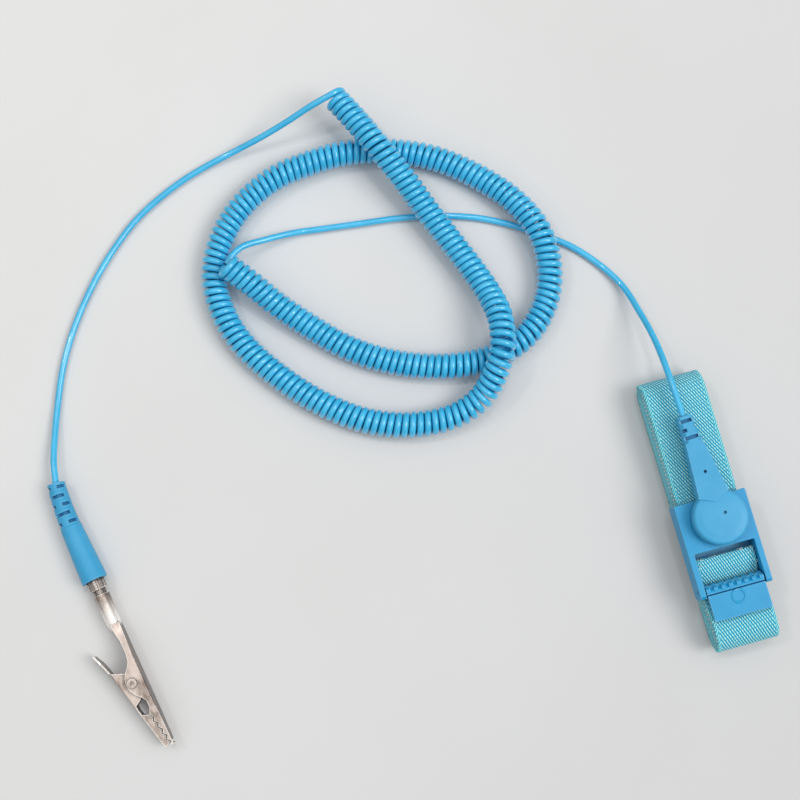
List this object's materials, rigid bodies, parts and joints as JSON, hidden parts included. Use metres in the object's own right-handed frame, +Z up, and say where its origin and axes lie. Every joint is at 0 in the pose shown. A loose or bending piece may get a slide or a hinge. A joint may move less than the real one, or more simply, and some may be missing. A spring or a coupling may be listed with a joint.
{
  "type": "esd wrist strap",
  "caption": "Elastic wristband with clamp buckle and press stud, curly earthing cord with a plug boot, and a sprung crocodile clip on its banana plug.",
  "frame": {"origin": "under the middle of the flattened wrist loop, on the surface that it lies on", "axes": "+Y along the loop to the end where the cord leaves, +X across the band, +Z up through the press stud"},
  "size_m": [0.2036, 0.1979, 0.0199],
  "materials": {
    "band_fabric": "teal elastic webbing with pale twill yarns",
    "buckle_plastic": "satin moulded plastic",
    "contact_steel": "brushed stainless sheet",
    "retainer_plastic": "satin moulded plastic",
    "stud_nickel": "nickel plated brass",
    "pin_steel": "drawn wire",
    "overmould_plastic": "soft satin overmould",
    "spring_steel": "spring wire",
    "resistor_coat": "lacquered body",
    "tinned_wire": "tinned copper wire",
    "crimp_brass": "plain brass",
    "cord_jacket": "glossy polyurethane jacket",
    "copper_strand": "bare copper strands",
    "plug_nickel": "nickel plated brass",
    "clip_steel": "nickel plated sheet steel, satin sides and bright edges"
  },
  "bodies": {
    "wristband": {"elastic_band": "band_fabric", "buckle_frame": "buckle_plastic", "contact_plate": "contact_steel", "band_retainer": "retainer_plastic", "snap_stud": "stud_nickel", "stud_eyelet": "stud_nickel", "lever_pin": "pin_steel"},
    "lever": {"clamp_lever": "buckle_plastic"},
    "stud_ring": {"socket_spring": "spring_steel"},
    "cord": {"snap_head": "overmould_plastic", "snap_socket": "stud_nickel", "resistor": "resistor_coat", "resistor_leads": "tinned_wire", "wire_crimp": "crimp_brass", "lead_strap": "cord_jacket", "coil_cord": "cord_jacket", "lead_clip": "cord_jacket", "plug_boot": "overmould_plastic", "plug_conductor": "copper_strand", "banana_plug": "plug_nickel"},
    "plug_sleeve": {"plug_spring": "plug_nickel"},
    "clip": {"clip_body": "clip_steel", "clip_rivet": "clip_steel", "clip_spring": "spring_steel"},
    "jaw": {"clip_jaw": "clip_steel"}
  },
  "joints": [
    {"name": "lever_hinge", "type": "hinge", "parent": "wristband", "child": "lever", "pos_m": [0, -0.0233, 0.0117], "axis": [-1, 0, 0], "range_deg": [0, 100]},
    {"name": "stud_pull", "type": "slide", "parent": "wristband", "child": "stud_ring", "axis": [0, 0, 1], "range_m": [0, 0.008]},
    {"name": "stud_swivel", "type": "hinge", "parent": "stud_ring", "child": "cord", "pos_m": [0.0007, -0.0032, 0.0152], "axis": [0, 0, 1], "continuous": true},
    {"name": "clip_turn", "type": "hinge", "parent": "cord", "child": "plug_sleeve", "pos_m": [-0.1833, 0.01856, 0.004], "axis": [0.1805, -0.9836, 0], "continuous": true},
    {"name": "clip_pull", "type": "slide", "parent": "plug_sleeve", "child": "clip", "axis": [0.1805, -0.9836, 0], "range_m": [0, 0.012]},
    {"name": "jaw_open", "type": "hinge", "parent": "clip", "child": "jaw", "pos_m": [-0.18091, -0.00438, 0.004], "axis": [0, 0, -1], "range_deg": [0, 28], "stiffness_Nm_per_rad": 0.05, "springref_deg": -34.38}
  ]
}
